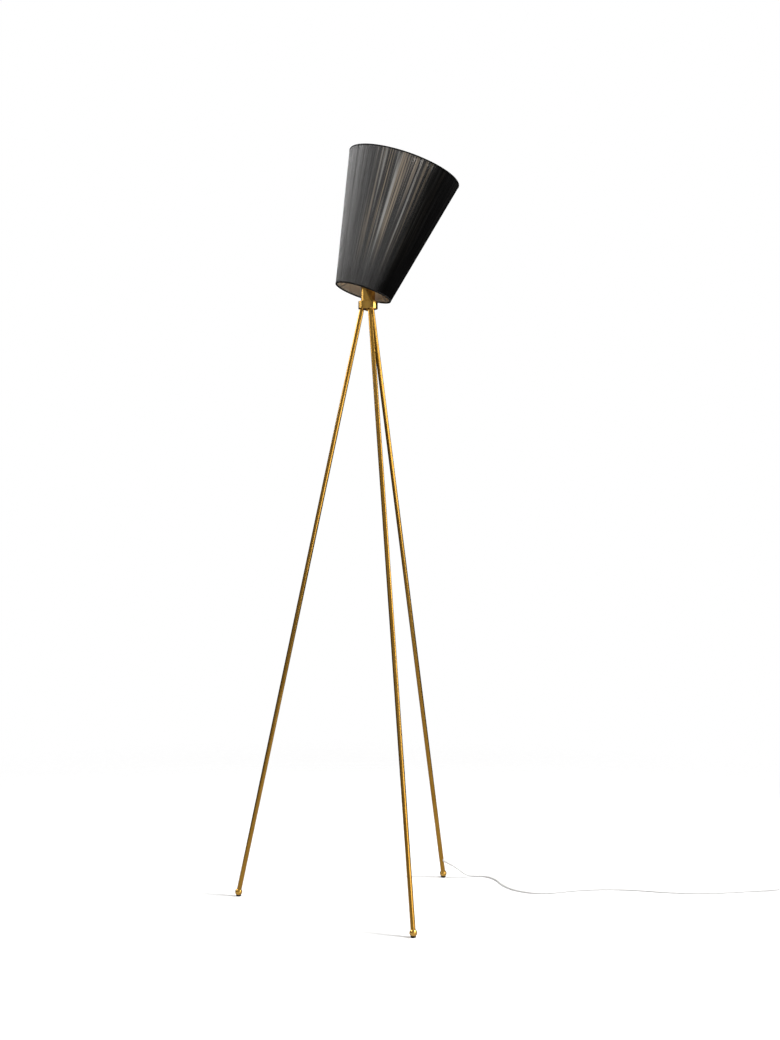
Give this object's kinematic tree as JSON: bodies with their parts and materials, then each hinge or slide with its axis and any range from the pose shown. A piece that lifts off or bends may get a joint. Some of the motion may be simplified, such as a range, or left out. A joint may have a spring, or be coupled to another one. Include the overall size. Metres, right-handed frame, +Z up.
{
  "type": "tripod floor lamp",
  "caption": "Slender floor lamp on three splayed metal tube legs, with a thread-wound tapered shade that swivels and tilts, and a mains lead with an in-line switch.",
  "frame": {"origin": "the middle of the lamp's own box on the floor, which leaves out the cord; the tripod's axis is 39.4 mm to +X and 21.3 mm to +Y of it", "axes": "+Z up; -Y towards the viewer of the lamp's front; +X the side that the cord leaves on and the shade leans to"},
  "size_m": [1.2925, 0.4375, 1.4332],
  "materials": {
    "satin_brass": "satin",
    "black_rubber": "matte",
    "zinc_steel": "satin",
    "nickel": "polished",
    "contact_brass": "plain",
    "white_ceramic": "glazed",
    "clear_glass": "clear",
    "filament_yellow": "coated",
    "black_plastic": "moulded",
    "white_nylon": "moulded",
    "black_thread": "wound thread",
    "black_tape": "woven tape",
    "lining_film": "matte film",
    "ivory_wire": "dipped coat",
    "white_cord": "extruded",
    "white_moulding": "moulded",
    "white_strap": "moulded"
  },
  "bodies": {
    "tripod": {"leg_rear": "satin_brass", "leg_left": "satin_brass", "leg_front": "satin_brass", "foot_ball_rear": "satin_brass", "foot_ball_left": "satin_brass", "foot_ball_front": "satin_brass", "foot_pad_rear": "black_rubber", "foot_pad_left": "black_rubber", "foot_pad_front": "black_rubber", "hub_body": "satin_brass", "hub_cover": "satin_brass", "hub_cap": "satin_brass", "nipple": "zinc_steel", "nipple_nuts": "zinc_steel", "holder_base": "satin_brass", "holder_sleeve": "satin_brass", "holder_insulator": "white_ceramic", "terminal_screws": "contact_brass", "thread_shell": "nickel", "centre_contact": "contact_brass", "bulb_cap": "nickel", "bulb_tip": "zinc_steel", "bulb_glass": "clear_glass", "bulb_stem": "clear_glass", "filaments": "filament_yellow", "lower_clamp_ring": "black_plastic", "upper_clamp_ring": "black_plastic", "cord_sleeve": "white_cord", "inner_leads": "white_cord", "mains_cord": "white_cord", "coil_lead": "white_cord", "plug_lead": "white_cord", "cord_coil": "white_cord", "coil_tie": "white_strap", "switch_base": "white_moulding", "switch_cover": "white_moulding", "switch_screws": "zinc_steel", "plug_body": "white_moulding", "plug_pins": "nickel"},
    "swivel": {"swivel_ring": "zinc_steel", "tilt_screws": "zinc_steel", "tilt_washers": "white_nylon"},
    "shade": {"spider_hub": "ivory_wire", "spider_arms": "ivory_wire", "lower_wire_ring": "ivory_wire", "upper_wire_ring": "ivory_wire", "shade_threads": "black_thread", "shade_lining": "lining_film", "lower_trim": "black_tape", "upper_trim": "black_tape"},
    "rocker": {"switch_rocker": "white_moulding"}
  },
  "joints": [
    {"name": "shade_swivel", "type": "hinge", "parent": "tripod", "child": "swivel", "pos_m": [0.03938, 0.0213, 1.1885], "axis": [0, 0, 1], "range_deg": [-170, 170]},
    {"name": "shade_tilt", "type": "hinge", "parent": "swivel", "child": "shade", "pos_m": [0.03938, 0.0213, 1.1885], "axis": [-0.2181, 0.9759, 0], "range_deg": [-48.24, 11.76]},
    {"name": "switch_rocker", "type": "hinge", "parent": "tripod", "child": "rocker", "pos_m": [0.94438, 0.1043, 0.0165], "axis": [0, 1, 0], "range_deg": [0, 14]}
  ]
}
